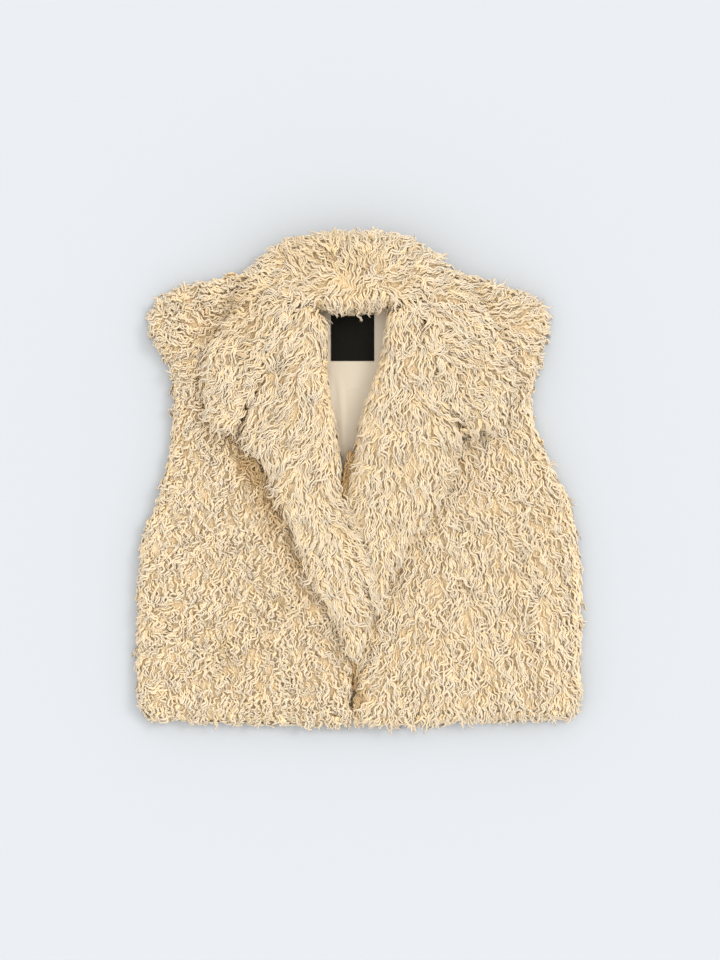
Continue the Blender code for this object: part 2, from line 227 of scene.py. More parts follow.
def fur_finish(name):
    finish, shader, _ = new_finish(name, FIBRE_ROUGHNESS - ROUGHNESS_DROP / 2)
    tree = finish.node_tree
    unwrapped = tree.nodes.new("ShaderNodeUVMap")
    unwrapped.uv_map = FUR_MAP
    uv = Socket(tree, unwrapped.outputs["UV"])
    parts = uv.node("ShaderNodeSeparateXYZ", {0: uv}).link.node
    tone = Socket(tree, parts.outputs["X"])
    along = Socket(tree, parts.outputs["Y"])
    # Low tones are partly a curl's own and partly painted shade; the lowest take the groove's painted shade
    open_tone = tone.within(GROOVE_TONE, 1.0)
    groove = tone.within(GROOVE_TONE, DEEPEST_TONE)
    rise = along.within(0.0, ROOT_END)
    pale = along.within(TIP_START, 1.0)
    colour = pale.mix(rise.mix(ROOT_COLOUR, MIDDLE_COLOUR), TIP_COLOUR)
    stretched = uv.node("ShaderNodeVectorMath", {0: uv, 1: STREAKS}, operation="MULTIPLY")
    streak = uv.node("ShaderNodeTexNoise", {"Vector": stretched, "Scale": 1.0, "Detail": 2.0})
    # A curl darkens by its own tone and fibre streaks, and by painted shade from its rank and the shade
    # spots
    darker = (1 - open_tone).power(TONE_CURVE) * TONE_SHARE + streak.within(0.62, 0.30) * STREAK_SHARE
    feed(shader, "Base Color", groove.mix(darker.mix(colour, TONE_AND_PAINTED_SHADE), GROOVE_PAINTED_SHADE))
    feed(shader, "Roughness", FIBRE_ROUGHNESS - ROUGHNESS_DROP * streak)
    bump = {"Strength": 0.35, "Distance": FIBRE_BUMP, "Height": streak}
    feed(shader, "Normal", uv.node("ShaderNodeBump", bump))
    shader.inputs["Specular IOR Level"].default_value = 0.0
    shader.inputs["Subsurface Weight"].default_value = LIGHT_THROUGH
    shader.inputs["Subsurface Radius"].default_value = LIGHT_REACH_BY_COLOUR
    shader.inputs["Subsurface Scale"].default_value = LIGHT_REACH
    return finish


fur = fur_finish("curly_pile")

# %% [markdown]
# ## Painted shade on the fur
# Beside the lapels, at their crossing, in the slit at the hem and between a few tufts, the curls are
# painted darker and browner as painted shade. The crown of the collar and its wing on the wearer's right
# get a little painted shade as a whole. A lamp can't be aimed that closely, so a table of soft spots
# says where the curls are painted darker, how far round and by what share. It holds the locks of the
# throat and the slit as well, each as one wide spot.

# %% Painted shade spots in millimetres: x, y, radius, share
PAINTED_SHADE_SPOTS = {
    "right_front": ((-158, 148, 28, 0.55), (-148, 100, 24, 0.45), (-172, 180, 44, 0.35),
                    (-166, 60, 16, 0.55), (-144, 42, 18, 0.80), (-128, 20, 18, 0.92),
                    (-117, -1, 17, 0.92), (-107, -24, 16, 0.90), (-96, -46, 15, 0.88), (-84, -72, 14, 0.80),
                    (-73, -99, 13, 0.72), (-61, -125, 12, 0.62), (-48, -150, 11, 0.50), (-12, -228, 9, 0.85),
                    (-9, -256, 9, 0.85), (-152, -188, 16, 0.50), (-164, -214, 14, 0.45),
                    (-104, -92, 15, 0.35), (-80, -150, 15, 0.30), (-205, 40, 18, 0.30),
                    (-222, -150, 18, 0.35), (-118, -244, 14, 0.35)),
    "left_front": ((93, 200, 12, 0.45), (158, 178, 14, 0.50), (112, 50, 15, 0.30), (150, 96, 14, 0.30),
                   (126, 22, 14, 0.20), (60, -128, 18, 0.20), (46, -96, 14, 0.15), (94, -168, 16, 0.20),
                   (176, -120, 18, 0.30), (216, -40, 18, 0.25), (2, -222, 8, 0.85), (6, -252, 8, 0.80),
                   (128, -226, 16, 0.30), (206, -206, 16, 0.25)),
    "right_lapel": ((-100, 108, 12, 0.30), (-64, 150, 12, 0.25), (-28, -58, 10, 0.25)),
    "left_lapel": ((-14, -14, 9, 0.90), (-10, -34, 9, 0.95), (-4, -52, 8, 0.80), (6, -76, 8, 0.70),
                   (16, -108, 8, 0.65), (24, -130, 8, 0.50), (-12, 12, 8, 0.60), (97, 124, 12, 0.50),
                   (84, 62, 13, 0.35), (52, 20, 13, 0.30), (62, -36, 13, 0.30)),
    "collar": ((-138, 202, 34, 0.66), (-126, 150, 24, 0.45), (-62, 258, 30, 0.55), (-18, 258, 22, 0.50),
               (-10, 243, 12, 0.40), (47, 223, 11, 0.45), (-36, 218, 11, 0.35), (4, 212, 9, 0.35),
               (-16, 199, 10, 0.40), (92, 208, 12, 0.35), (-120, 112, 14, 0.25), (124, 118, 14, 0.25)),
    "throat": ((-12, 0, 70, 0.95),),
    "slit": ((-3, -235, 70, 0.97),),
}


def painted_shade_at(node, places):
    """How much painted shade each place gets, from 0 to 1."""
    lit = np.ones(len(places))
    for x, y, radius, share in PAINTED_SHADE_SPOTS.get(node, ()):
        away = np.hypot(places[:, 0] / MM - x, places[:, 1] / MM - y) / radius
        lit *= 1 - share * np.exp(-away ** 2)
    return 1 - lit


# %% [markdown]
# ## Backing cloth
# The pile grows from a knitted backing under the tips. Each cloth piece of the frame is copied and
# pulled in by a few millimetres, so that the curls lie at the frame's own surface and a little over
# it. What shows between them stands for the lower fur, so the backing's finish is a rough tangle
# painted a darker, warmer brown than the curls, as painted shade. A point attribute carries the
# painted shade of the spots to it, as the tone in the map does for the curls.

# %% Finish of the backing
SHADE_NAME = "shade"
# The tangle is painted darker and browner than the curls, as painted shade of the fur under them
TANGLE_DARK, TANGLE_LIGHT = (0.64, 0.46, 0.25, 1.0), (0.80, 0.62, 0.39, 1.0)
TANGLE_PATCH, PATCH_SHARE = (0.76, 0.58, 0.35, 1.0), 0.5
TANGLE_DRIFT = (0.006, 0.006, 0.006)
TANGLE_BUMP = 1.2 * MM


def backing_finish():
    finish, shader, place = new_finish("roots_in_painted_shade", 0.9)
    wander = place.node("ShaderNodeTexNoise", {"Vector": place, "Scale": 160.0, "Detail": 3.0}, output=1)
    drift = place.node("ShaderNodeVectorMath", {0: wander, 1: TANGLE_DRIFT}, operation="MULTIPLY")
    bent = place.node("ShaderNodeVectorMath", {0: place, 1: drift}, operation="ADD")
    hairs = place.node("ShaderNodeTexWave", {"Vector": bent, "Scale": 90.0, "Distortion": 9.0,
                                             "Detail": 2.0, "Detail Scale": 1.4})
    patches = place.node("ShaderNodeTexNoise", {"Vector": place, "Scale": 45.0, "Detail": 2.0})
    colour = hairs.within(0.1, 0.9).mix(TANGLE_DARK, TANGLE_LIGHT)
    colour = (patches * PATCH_SHARE).mix(colour, TANGLE_PATCH)
    shade = place.node("ShaderNodeAttribute", {}, output=2, attribute_name=SHADE_NAME)
    # Painted shade from the spots turns the backing towards the groove's painted shade colour
    feed(shader, "Base Color", shade.mix(colour, GROOVE_PAINTED_SHADE))
    bump = {"Strength": 0.6, "Distance": TANGLE_BUMP, "Height": hairs}
    feed(shader, "Normal", place.node("ShaderNodeBump", bump))
    shader.inputs["Specular IOR Level"].default_value = 0.0
    return finish


backing_cloth = backing_finish()

# %% A copy of a cloth piece, pulled in by its pile
UNDERSIDE = -0.5
MERGE_DISTANCE = 0.01 * MM


def own_copy(node, name):
    """A merged copy of a frame piece, as an object of its own."""
    piece = bpy.data.objects.new(name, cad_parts[node].data.copy())
    scene.collection.objects.link(piece)
    piece.data.materials.clear()
    mesh = bmesh.new()
    mesh.from_mesh(piece.data)
    bmesh.ops.remove_doubles(mesh, verts=mesh.verts, dist=MERGE_DISTANCE)
    mesh.normal_update()
    mesh.to_mesh(piece.data)
    mesh.free()
    return piece


def make_backing(node, pile, flat, underside_pile=0.0):
    """The backing of one fur piece, with its cut printed."""
    piece = own_copy(node, node + "_backing")
    mesh = bmesh.new()
    mesh.from_mesh(piece.data)
    for vertex in mesh.verts:
        depth = underside_pile if vertex.normal.z < UNDERSIDE else pile
        vertex.co -= vertex.normal * depth
    mesh.to_mesh(piece.data)
    mesh.free()
    places = np.array([vertex.co for vertex in piece.data.vertices])
    # The painted shade of the spots, kept on each point for the backing's finish
    shade = piece.data.attributes.new(SHADE_NAME, "FLOAT", "POINT")
    shade.data.foreach_set("value", painted_shade_at(node, places).astype(np.float32))
    piece.data.materials.append(backing_cloth)
    piece.data.shade_smooth()
    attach(piece, "root")
    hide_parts(node)
    print(piece.name, "cut to", flat, "m")


# %% The seven backings, each with the width and length of its cut in metres
FRONT_PILE, TURNED_PILE, BACK_PILE = 1.7 * MM, 1.7 * MM, 4.5 * MM

make_backing("right_front", FRONT_PILE, (0.250, 0.535))
make_backing("left_front", FRONT_PILE, (0.266, 0.534))
make_backing("right_lapel", TURNED_PILE, (0.150, 0.406))
make_backing("left_lapel", TURNED_PILE, (0.129, 0.337))
make_backing("collar", TURNED_PILE, (0.100, 0.640))
make_backing("collar_fall", BACK_PILE, (0.221, 0.116), BACK_PILE)
make_backing("back_panel", 0.0, (0.511, 0.524), BACK_PILE)

# %% [markdown]
# ## Lining and label
# The lining is a thin satin sheet sewn to the back panel. It could be simulated, but its few folds are
# known from the photograph, so they are listed: long soft ridges that run from under the label down
# towards the crossing of the lapels, and the stitched line of the yoke below the label. Only the part
# in view gets them, and finer faces. The label is a woven black tab with rounded, folded edges.

# %% Folds of the lining, in millimetres
VIEW_LEFT, VIEW_RIGHT, VIEW_LOW, VIEW_HIGH = -62 * MM, 40 * MM, -70 * MM, 200 * MM
YOKE_SEAM_Y, YOKE_SEAM_WIDTH, YOKE_SEAM_DEPTH = 133 * MM, 1.4 * MM, 0.35 * MM
LINING_FOLDS = (
    dict(head=(-24, 124), foot=(-13, 4), width=8, height=2.1),
    dict(head=(-6, 126), foot=(-9, 26), width=8, height=1.3),
    dict(head=(7, 112), foot=(-3, 34), width=6, height=1.0),
    dict(head=(-33, 118), foot=(-24, 60), width=5, height=0.8),
)


def fold_height(x, y):
    """How high the lining's folds stand above its flat place."""
    total = 0.0
    for fold in LINING_FOLDS:
        (head_x, head_y), (foot_x, foot_y) = fold["head"], fold["foot"]
        rise = (y / MM - foot_y) / (head_y - foot_y)
        if 0 < rise < 1:
            away = abs(x / MM - foot_x - rise * (head_x - foot_x)) / fold["width"]
            if away < 1:
                total += fold["height"] * np.sin(pi * rise) * 0.5 * (1 + np.cos(pi * away))
    seam = abs(y - YOKE_SEAM_Y) / YOKE_SEAM_WIDTH
    if seam < 1:
        total -= YOKE_SEAM_DEPTH / MM * 0.5 * (1 + np.cos(pi * seam))
    return total * MM


def in_view(place):
    return VIEW_LEFT < place.x < VIEW_RIGHT and VIEW_LOW < place.y < VIEW_HIGH


# %% Lining
SATIN_DARK, SATIN_LIGHT = (0.58, 0.51, 0.40, 1.0), (0.62, 0.545, 0.43, 1.0)
WEAVE_BUMP = 0.2 * MM


def make_lining():
    piece = own_copy("back_lining", "satin_lining")
    mesh = bmesh.new()
    mesh.from_mesh(piece.data)
    top = max(vertex.co.z for vertex in mesh.verts if vertex.co.y > YOKE_SEAM_Y)
    base = min(vertex.co.z for vertex in mesh.verts)
    for vertex in mesh.verts:
        upper = vertex.normal.z > 0
        if in_view(vertex.co):
            vertex.co.z = top if upper else base
    for cuts in (2, 1):
        edges = [edge for edge in mesh.edges if in_view((edge.verts[0].co + edge.verts[1].co) / 2)]
        bmesh.ops.subdivide_edges(mesh, edges=edges, cuts=cuts, use_grid_fill=True)
    bmesh.ops.triangulate(mesh, faces=mesh.faces)
    for vertex in mesh.verts:
        vertex.co.z += fold_height(vertex.co.x, vertex.co.y)
    mesh.to_mesh(piece.data)
    mesh.free()
    finish, shader, place = new_finish("cream_satin", 0.42)
    weave = place.node("ShaderNodeTexWave", {"Vector": place, "Scale": 900.0, "Distortion": 0.4})
    cloud = place.node("ShaderNodeTexNoise", {"Vector": place, "Scale": 26.0, "Detail": 2.0})
    feed(shader, "Base Color", cloud.mix(SATIN_DARK, SATIN_LIGHT))
    bump = {"Strength": 0.12, "Distance": WEAVE_BUMP, "Height": weave}
    feed(shader, "Normal", place.node("ShaderNodeBump", bump))
    shader.inputs["Specular IOR Level"].default_value = 0.35
    shader.inputs["Sheen Weight"].default_value = 0.15
    piece.data.materials.append(finish)
    piece.data.shade_smooth()
    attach(piece, "root")
    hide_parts("back_lining")
    print("lining:", len(piece.data.polygons), "faces")


make_lining()

# %% Label
FOLDED_EDGE, FOLD_FACES = 0.35 * MM, 3
THREAD_SCALE = 620.0
DARK_THREAD, PALE_THREAD = (0.004, 0.0038, 0.003, 1.0), (0.016, 0.015, 0.012, 1.0)


def make_label():
    corners = [Vector(corner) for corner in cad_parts["label"].bound_box]
    low, high = corners[0], corners[6]
    bpy.ops.object.select_all(action="DESELECT")
    bpy.ops.mesh.primitive_cube_add(size=1.0, location=(low + high) / 2)
    piece = bpy.context.object
    piece.name = "woven_label"
    piece.scale = high - low
    bpy.ops.object.transform_apply(location=True, rotation=False, scale=True)
    bevel = piece.modifiers.new("folded_edges", "BEVEL")
    bevel.width = FOLDED_EDGE
    bevel.segments = FOLD_FACES
    bpy.ops.object.modifier_apply(modifier=bevel.name)
    finish, shader, place = new_finish("woven_black", 0.8)
    fine = {"Vector": place, "Scale": THREAD_SCALE}
    warp = place.node("ShaderNodeTexWave", dict(fine, Distortion=0.3))
    weft = place.node("ShaderNodeTexWave", fine, bands_direction="Y")
    feed(shader, "Base Color", (warp * weft).mix(DARK_THREAD, PALE_THREAD))
    bump = {"Strength": 0.4, "Distance": WEAVE_BUMP, "Height": warp + weft}
    feed(shader, "Normal", place.node("ShaderNodeBump", bump))
    shader.inputs["Specular IOR Level"].default_value = 0.1
    piece.data.materials.append(finish)
    piece.data.shade_smooth()
    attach(piece, "root")
    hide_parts("label")
    print("label:", len(piece.data.polygons), "faces")


make_label()

# %% [markdown]
# ## Where the curls grow
# Roots are spread evenly over the surface of a piece: random places are tried one by one, and a place
# too close to an earlier one is dropped. A grid of cells as wide as the spacing keeps the search short.
# Places that lie under another piece get no fur, apart from a narrow border along each edge.

# %% Surfaces of the frame's pieces
def triangles_of(node):
    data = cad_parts[node].data
    data.calc_loop_triangles()
    corners = np.empty(len(data.vertices) * 3)
    data.vertices.foreach_get("co", corners)
    corners = corners.reshape(-1, 3)
    index = np.empty(len(data.loop_triangles) * 3, dtype=int)
    data.loop_triangles.foreach_get("vertices", index)
    return corners[index.reshape(-1, 3)]


def tree_of(node):
    corners = triangles_of(node).reshape(-1, 3)
    faces = [(k, k + 1, k + 2) for k in range(0, len(corners), 3)]
    return BVHTree.FromPolygons([tuple(place) for place in corners], faces)


surfaces = {node: tree_of(node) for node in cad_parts}
print("surfaces to grow on:", len(surfaces))

# %% What lies over a place, and which places lie past the vest
UP, DOWN = Vector((0, 0, 1)), Vector((0, 0, -1))
BORDER = 7.0 * MM
ABOVE_ALL = 0.1


def is_covered(node, place):
    """Whether other pieces lie over a place and all round it."""
    others = [surfaces[name] for name in surfaces if name not in (node, "label")]
    for shift in ((0, 0), (BORDER, 0), (-BORDER, 0), (0, BORDER), (0, -BORDER)):
        start = Vector((place[0] + shift[0], place[1] + shift[1], place[2] + MM))
        if all(tree.ray_cast(start, UP)[0] is None for tree in others):
            return False
    return True


def lies_past(places):
    """Whether each place lies past the outline of all the pieces."""
    starts = [Vector((x, y, ABOVE_ALL)) for x, y in places[:, :2]]
    return np.array([all(tree.ray_cast(start, DOWN)[0] is None for tree in surfaces.values())
                     for start in starts])


# %% Roots, none too close to another
TRIES = 4.0


def too_close(place, cell, taken, spacing):
    """Whether an earlier root, in this cell or one beside it, lies nearer than the spacing."""
    for shift in product((-1, 0, 1), repeat=3):
        beside = tuple(index + step for index, step in zip(cell, shift))
        for other in taken.get(beside, ()):
            gap = place - other
            if gap @ gap < spacing * spacing:
                return True
    return False


def spread_roots(node, spacing, rng, keep):
    """Places and outward directions, no two closer than the spacing, on the faces that keep allows."""
    triangles = triangles_of(node)
    across = np.cross(triangles[:, 1] - triangles[:, 0], triangles[:, 2] - triangles[:, 0])
    sizes = np.linalg.norm(across, axis=1)
    outward = across / sizes[:, None]
    sizes = np.where(keep(outward), sizes, 0.0)
    area = 0.5 * sizes.sum()
    tries = int(TRIES * area / spacing ** 2)
    chosen = rng.choice(len(triangles), size=tries, p=sizes / sizes.sum())
    first, second = np.sqrt(rng.random(tries)), rng.random(tries)
    weights = np.stack([1 - first, first * (1 - second), first * second], axis=1)
    places = (triangles[chosen] * weights[:, :, None]).sum(axis=1)
    taken = {}
    kept = []
    for number, place in enumerate(places):
        cell = tuple(int(index) for index in np.floor(place / spacing))
        if too_close(place, cell, taken, spacing) or is_covered(node, place):
            continue
        taken.setdefault(cell, []).append(place)
        kept.append(number)
    return places[kept], outward[chosen[kept]]


# %% [markdown]
# ## How the pile is combed
# A table of arrows says which way the pile lies: outwards on the shoulder caps, down over the body,
# away from the neck on the collar, down and outwards on the lapels, and over the free edge of the right
# lapel where it crosses the left one. Between arrows the direction is blended by distance.

# %% Comb arrows in millimetres: place, then direction
COMB = {
    "right_front": ((-225, 190, -1, 0.05), (-205, 205, -0.9, 0.3), (-228, 150, -0.9, -0.5),
                    (-190, 110, -0.5, -1), (-200, 30, -0.3, -1), (-235, -60, -0.35, -1),
                    (-150, 0, -0.05, -1), (-240, -180, -0.25, -1), (-150, -150, 0.05, -1),
                    (-60, -150, 0.15, -1), (-150, -260, 0.0, -1), (-40, -250, 0.1, -1),
                    (-14, -225, 0.5, -1), (-14, -270, 0.35, -1)),
    "left_front": ((200, 195, 1, 0.05), (180, 205, 0.9, 0.25), (208, 150, 0.8, -0.6),
                   (190, 100, 0.35, -1), (195, 40, 0.3, -1), (235, -40, 0.4, -1),
                   (150, -30, 0.2, -1), (240, -180, 0.25, -1), (150, -180, 0.15, -1),
                   (50, -150, -0.1, -1), (150, -260, 0.1, -1), (35, -250, -0.1, -1),
                   (2, -225, -0.6, -1), (2, -270, -0.45, -1)),
    "right_lapel": ((-52, 185, -0.4, -1), (-80, 130, -0.7, -1), (-118, 70, -0.8, -1),
                    (-42, 100, -0.15, -1), (-80, 20, -0.5, -1), (-45, 0, -0.2, -1),
                    (-20, -10, 0.6, -1), (-8, -50, 1.1, -1), (2, -90, 1.1, -1),
                    (-35, -80, -0.3, -1), (10, -130, 0.6, -1), (-5, -180, 0.0, -1)),
    "left_lapel": ((45, 180, -0.1, -1), (22, 120, -0.45, -1), (70, 110, 0.35, -1),
                   (105, 65, 0.7, -1), (5, 40, -0.35, -1), (60, 0, 0.2, -1),
                   (-8, 0, -0.6, -1), (5, -50, -0.4, -1), (14, -90, -0.2, -1),
                   (35, -60, 0.0, -1), (35, -110, 0.1, -1)),
    "collar": ((0, 198, 0.0, -1), (-35, 202, -0.1, -1), (35, 202, 0.0, -1), (0, 232, 0.0, 0.6),
               (0, 268, 0.05, 1), (-60, 255, -0.7, 0.8), (-60, 225, -0.9, 0.1),
               (60, 250, 0.7, 0.7), (60, 222, 0.9, -0.1), (-110, 225, -1, -0.1),
               (105, 225, 1, 0.05), (-95, 190, -0.8, -0.7), (90, 190, 0.8, -0.5),
               (-135, 150, -0.75, -0.8), (135, 150, 0.8, -0.7), (-150, 80, -0.5, -1),
               (145, 80, 0.45, -1)),
    "crossing": ((-14, -45, 1.0, -1), (0, -85, 1.0, -1), (14, -140, 0.6, -1)),
    "throat": ((-10, 34, -0.35, -1), (-12, -20, -0.2, -1)),
    "right_gorge": ((-66, 196, -0.8, -1), (-100, 135, -0.7, -1), (-137, 57, -0.3, -1)),
    "left_gorge": ((50, 208, 0.7, -1), (82, 166, 0.5, -1), (99, 114, 0.2, -1), (128, 57, 0.3, -1)),
    "slit": ((-5, -210, 0.2, -1), (0, -262, 0.1, -1)),
    "right_neck": ((-60, 270, -0.5, 1), (-110, 245, -0.9, 0.6)),
    "left_neck": ((55, 272, 0.5, 1), (105, 245, 0.9, 0.6)),
    "back_panel": ((0, 0, 0.0, -1), (-200, 200, -1, 0.0), (190, 200, 1, 0.0),
                   (-240, -100, -0.5, -1), (240, -100, 0.5, -1)),
    "collar_fall": ((0, 270, 0.0, 1), (-90, 240, -0.8, 0.6), (85, 235, 0.8, 0.6),
                    (0, 200, 0.0, 1)),
}


# %% The comb between its arrows, and smooth chance
COMB_BLEND, COMB_FALL = 15.0, 1.5


def comb_at(node, places):
    """The direction of the pile in plan at each place."""
    table = np.array(COMB[node])
    away = places[:, None, :2] / MM - table[None, :, :2]
    weight = 1.0 / ((away ** 2).sum(axis=2) + COMB_BLEND ** 2) ** COMB_FALL
    arrows = table[:, 2:] / np.linalg.norm(table[:, 2:], axis=1)[:, None]
    blend = (weight[:, :, None] * arrows[None]).sum(axis=1)
    return blend / np.linalg.norm(blend, axis=1)[:, None]


def swell(places, rng, wavelength, count=7):
    """A smooth random number, from about -1 to 1, that changes over the given distance."""
    total = np.zeros(len(places))
    for _ in range(count):
        angle = rng.random() * 2 * pi
        phase = rng.random() * 2 * pi
        stretch = 2 * pi / wavelength * rng.uniform(0.6, 1.4)
        total += np.sin(stretch * (places[:, 0] * np.cos(angle) + places[:, 1] * np.sin(angle)) + phase)
    return total / np.sqrt(count)


# %% [markdown]
# ## Growing the curls
# A curl starts at its root, rises to the surface, then lies along the comb in a helix that swings
# sideways and up and down. The curls of one lock share their swing, so they read as one crimped lock.
# Each lock has a rank: a high one lies over its neighbours and is painted paler, a low one sinks and is
# painted darker, as painted light and shade. On a side that faces outwards the curls are shorter and
# sag. Near the outline they are held back a little, by the share in their style, so that the vest keeps
# the outline that it has in the picture.

# %% How a curl rises, lies and ends
RISE = 0.42
SET_BACK = 0.35
LIE_DOWN = 0.8
EDGE_TRIM = 0.30
SAG = 0.7
TIP_DIP = 1.8 * MM
RANK_HEIGHT = 0.7 * MM
RIM_REACH = 11 * MM
RIM_FADE = 2.5
TURN_WAVE, RELIEF_WAVE, TONE_WAVE = 45 * MM, 38 * MM, 32 * MM
TURN_SHARE = 0.42
# A lock's rank also paints its tone paler or darker, as painted light and shade
MIDDLE_TONE, WAVE_TONE, RANK_PAINTED_SHADE, OWN_TONE = 0.5, 0.14, 0.32, 0.12


def lying(comb, outward, turn, style):
    """The direction in which each curl lies: the comb, turned a little, flared and sagging on sides."""
    cosine, sine = np.cos(turn), np.sin(turn)
    lie = np.stack([comb[:, 0] * cosine - comb[:, 1] * sine,
                    comb[:, 0] * sine + comb[:, 1] * cosine, np.zeros(len(turn))], axis=1)
    sideways_share = 1 - np.abs(outward[:, 2:3])
    lie += style["flare"] * outward * sideways_share
    lie[:, 2:3] -= SAG * sideways_share
    along = lie - outward * (lie * outward).sum(axis=1)[:, None] * LIE_DOWN
    return along / np.linalg.norm(along, axis=1)[:, None]


# %% Curls as arrays
def grow(node, rng, roots, outward, style):
    """Points of every curl, count x steps x 3, with its outward direction and its tone."""
    locks = len(roots)
    count = locks * style["strands"]
    lock = np.repeat(np.arange(locks), style["strands"])

    def shared(spread, own):
        """A random number that the curls of one lock share, apart from a little of their own."""
        return (spread * rng.normal(size=locks)[lock] + own * rng.normal(size=count))[:, None]

    t = np.linspace(0.0, 1.0, style["steps"])[None, :]
    comb = comb_at(node, roots)
    outward = outward[lock]
    centres = roots[lock]
    sideways_share = 1 - np.abs(outward[:, 2:3])
    turn = shared(style["stray"], 0.10)[:, 0] + TURN_SHARE * swell(centres, rng, TURN_WAVE)
    along = lying(comb[lock], outward, turn, style)
    side = np.cross(outward, along)
    side /= np.linalg.norm(side, axis=1)[:, None]
    apart = style["spacing"] * style["spread"]
    aside = apart * rng.normal(size=count)[:, None]
    ahead = apart * rng.normal(size=count)[:, None]
    length = style["length"] * (1 + shared(0.14, 0.08)) * (1 - EDGE_TRIM * sideways_share)
    depth = style["depth"] * rng.uniform(0.75, 1.05, count)[:, None]
    relief = np.clip(0.5 + 0.5 * swell(centres, rng, RELIEF_WAVE)[:, None], 0, 1)
    lift = style["lift"] * shared(0.6, 0.5)
    rank = rng.uniform(-1, 1, locks)[lock]
    # A lock's rank paints it paler or darker as painted light and shade; the rest of its tone differs at
    # random
    tone = MIDDLE_TONE + WAVE_TONE * swell(centres, rng, TONE_WAVE) + RANK_PAINTED_SHADE * rank
    tone += OWN_TONE * rng.normal(size=count)
    tuft = style["tuft"] * relief * (1 - sideways_share) + RANK_HEIGHT * rank[:, None]
    height = -depth * np.clip(1 - t / RISE, 0, 1) ** 1.7 + lift * t + tuft * np.clip(t / RISE, 0, 1)
    height -= TIP_DIP * t ** 4
    ends = roots + RIM_REACH * np.column_stack([comb, np.zeros(locks)])
    held = style["rim"] * lies_past(ends)[lock][:, None] * np.clip(1 - RIM_FADE * sideways_share, 0, 1)
    forward = length * (t ** 1.1 - SET_BACK - held) + ahead
    cycles = length / style["wave"] * (1 + shared(0.08, 0.03))
    phase = pi * rng.uniform(-1, 1, locks)[lock][:, None] + shared(0.0, 0.35)
    grip = np.clip(t * 2.6, 0, 1) * (1.0 - 0.15 * t)
    swing = style["swing"] * np.abs(1 + shared(0.22, 0.12)) * grip
    hand = np.where(rng.random(locks) < 0.5, -1.0, 1.0)[lock][:, None]
    sideways = swing * np.sin(2 * pi * cycles * t + phase)
    upward = style["twist"] * swing * np.cos(2 * pi * cycles * t + phase) * hand
    gather = 1.0 - style["clump"] * t ** 1.2
    points = (centres[:, None, :] + outward[:, None, :] * (height + upward)[:, :, None]
              + along[:, None, :] * forward[:, :, None]
              + side[:, None, :] * (sideways + aside * gather)[:, :, None])
    return points, outward, tone


# %% [markdown]
# ## From lines to a mesh
# Each curl is a flat three-sided tube with a closed root and a pointed tip, wider where it hangs on a
# side, so that the side isn't bare. All curls of a piece are worked out together as arrays and joined
# in one mesh, because modelling thousands by hand has no use. The map holds the tone across and the
# length along, which is all that the finish needs.

# %% Faces and map of one curl
SIDES = 3


def curl_pattern(steps):
    """Faces of one curl and their places in the map; the last vertex is the tip."""
    faces, places = [], []
    for step in range(steps - 2):
        for turn in range(SIDES):
            after = (turn + 1) % SIDES
            low, high = step * SIDES, (step + 1) * SIDES
            a, b, c, d = low + turn, low + after, high + after, high + turn
            u0, u1 = turn / SIDES, (turn + 1) / SIDES
            v0, v1 = step / (steps - 1), (step + 1) / (steps - 1)
            faces += [(a, b, c), (a, c, d)]
            places += [((u0, v0), (u1, v0), (u1, v1)), ((u0, v0), (u1, v1), (u0, v1))]
    last, tip = (steps - 2) * SIDES, (steps - 1) * SIDES
    for turn in range(SIDES):
        after = (turn + 1) % SIDES
        u0, u1 = turn / SIDES, (turn + 1) / SIDES
        v0 = (steps - 2) / (steps - 1)
        faces.append((last + turn, last + after, tip))
        places.append(((u0, v0), (u1, v0), (0.5 * (u0 + u1), 1.0)))
    faces.append((2, 1, 0))
    places.append(((1.0, 0.0), (0.5, 0.02), (0.0, 0.0)))
    return np.array(faces), np.array(places)


# %% Rings of every curl
TAPER = 0.55
RIM_WIDTH = 0.8
RADIUS_SHARE = 0.58
FLATNESS = 0.36
FLOOR_GAP = 0.3 * MM


def curl_vertices(rng, points, outward, style):
    """Vertices of every curl, ring after ring and the tip last, and its points kept off the floor."""
    count, steps, _ = points.shape
    t = np.linspace(0.0, 1.0, steps)[None, :]
    width = style["width"] * rng.uniform(0.7, 1.2, count)[:, None] * (1.0 - TAPER * t ** 2)
    width *= 1 + RIM_WIDTH * (1 - np.abs(outward[:, 2:3]))
    points = points.copy()
    points[:, :, 2] = np.maximum(points[:, :, 2], FLOOR_GAP + 0.6 * width)
    tangent = np.gradient(points, axis=1)
    tangent /= np.linalg.norm(tangent, axis=2)[:, :, None]
    across = np.cross(outward[:, None, :], tangent)
    across /= np.linalg.norm(across, axis=2)[:, :, None] + 1e-9
    above = np.cross(tangent, across)
    rings = []
    for turn in range(SIDES):
        angle = pi / 2 + 2 * pi * turn / SIDES
        offset = across * np.cos(angle) + above * np.sin(angle) * FLATNESS
        rings.append(points + offset * (RADIUS_SHARE * width)[:, :, None])
    body = np.stack(rings, axis=2)[:, :-1].reshape(count, -1, 3)
    return np.concatenate([body, points[:, -1:, :]], axis=1), points


# %% One joined mesh
TONE_WIDTH = 0.02


